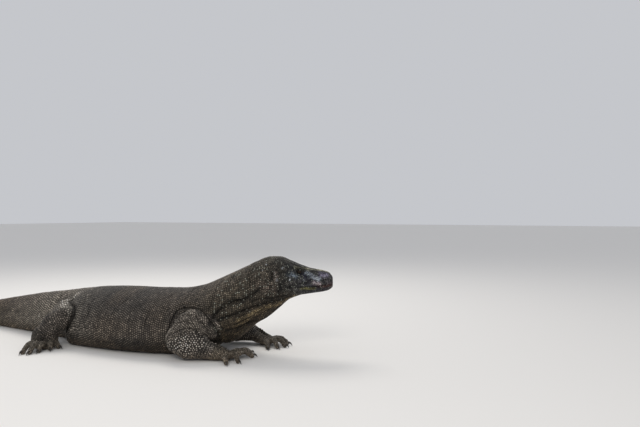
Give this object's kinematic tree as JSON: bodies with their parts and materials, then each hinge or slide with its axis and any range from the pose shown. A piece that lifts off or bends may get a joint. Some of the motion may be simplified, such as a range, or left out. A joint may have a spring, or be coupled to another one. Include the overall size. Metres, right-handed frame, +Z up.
{
  "type": "komodo dragon",
  "caption": "Still, life-size model of a heavy adult Komodo dragon lying on its belly with its head raised and its throat folded.",
  "frame": {"origin": "on the floor, under the middle of the whole animal's box", "axes": "+X towards the head along the trunk, +Y to the animal's left, +Z up"},
  "size_m": [2.7138, 0.8462, 0.42],
  "materials": {
    "hide": "small dry bead scales, grey-brown, matt",
    "throat_hide": "loose folded throat skin, brown with olive and ochre, matt",
    "claw_horn": "dark horn, worn and half gloss",
    "eye": "wet dark brown eye, full gloss"
  },
  "bodies": {
    "root": {"tail_tip": "hide", "tail_middle": "hide", "tail_base": "hide", "trunk": "hide", "neck": "hide", "head": "hide", "lower_jaw": "throat_hide", "eye_right": "eye", "eye_left": "eye", "throat": "throat_hide", "upper_arm_front_right": "hide", "forearm_front_right": "hide", "hand_front_right": "hide", "claw_front_right_1": "claw_horn", "claw_front_right_2": "claw_horn", "claw_front_right_3": "claw_horn", "claw_front_right_4": "claw_horn", "claw_front_right_5": "claw_horn", "upper_arm_front_left": "hide", "forearm_front_left": "hide", "hand_front_left": "hide", "claw_front_left_1": "claw_horn", "claw_front_left_2": "claw_horn", "claw_front_left_3": "claw_horn", "claw_front_left_4": "claw_horn", "claw_front_left_5": "claw_horn", "thigh_hind_right": "hide", "shank_hind_right": "hide", "foot_hind_right": "hide", "claw_hind_right_1": "claw_horn", "claw_hind_right_2": "claw_horn", "claw_hind_right_3": "claw_horn", "claw_hind_right_4": "claw_horn", "claw_hind_right_5": "claw_horn", "thigh_hind_left": "hide", "shank_hind_left": "hide", "foot_hind_left": "hide", "claw_hind_left_1": "claw_horn", "claw_hind_left_2": "claw_horn", "claw_hind_left_3": "claw_horn", "claw_hind_left_4": "claw_horn", "claw_hind_left_5": "claw_horn"}
  },
  "joints": []
}
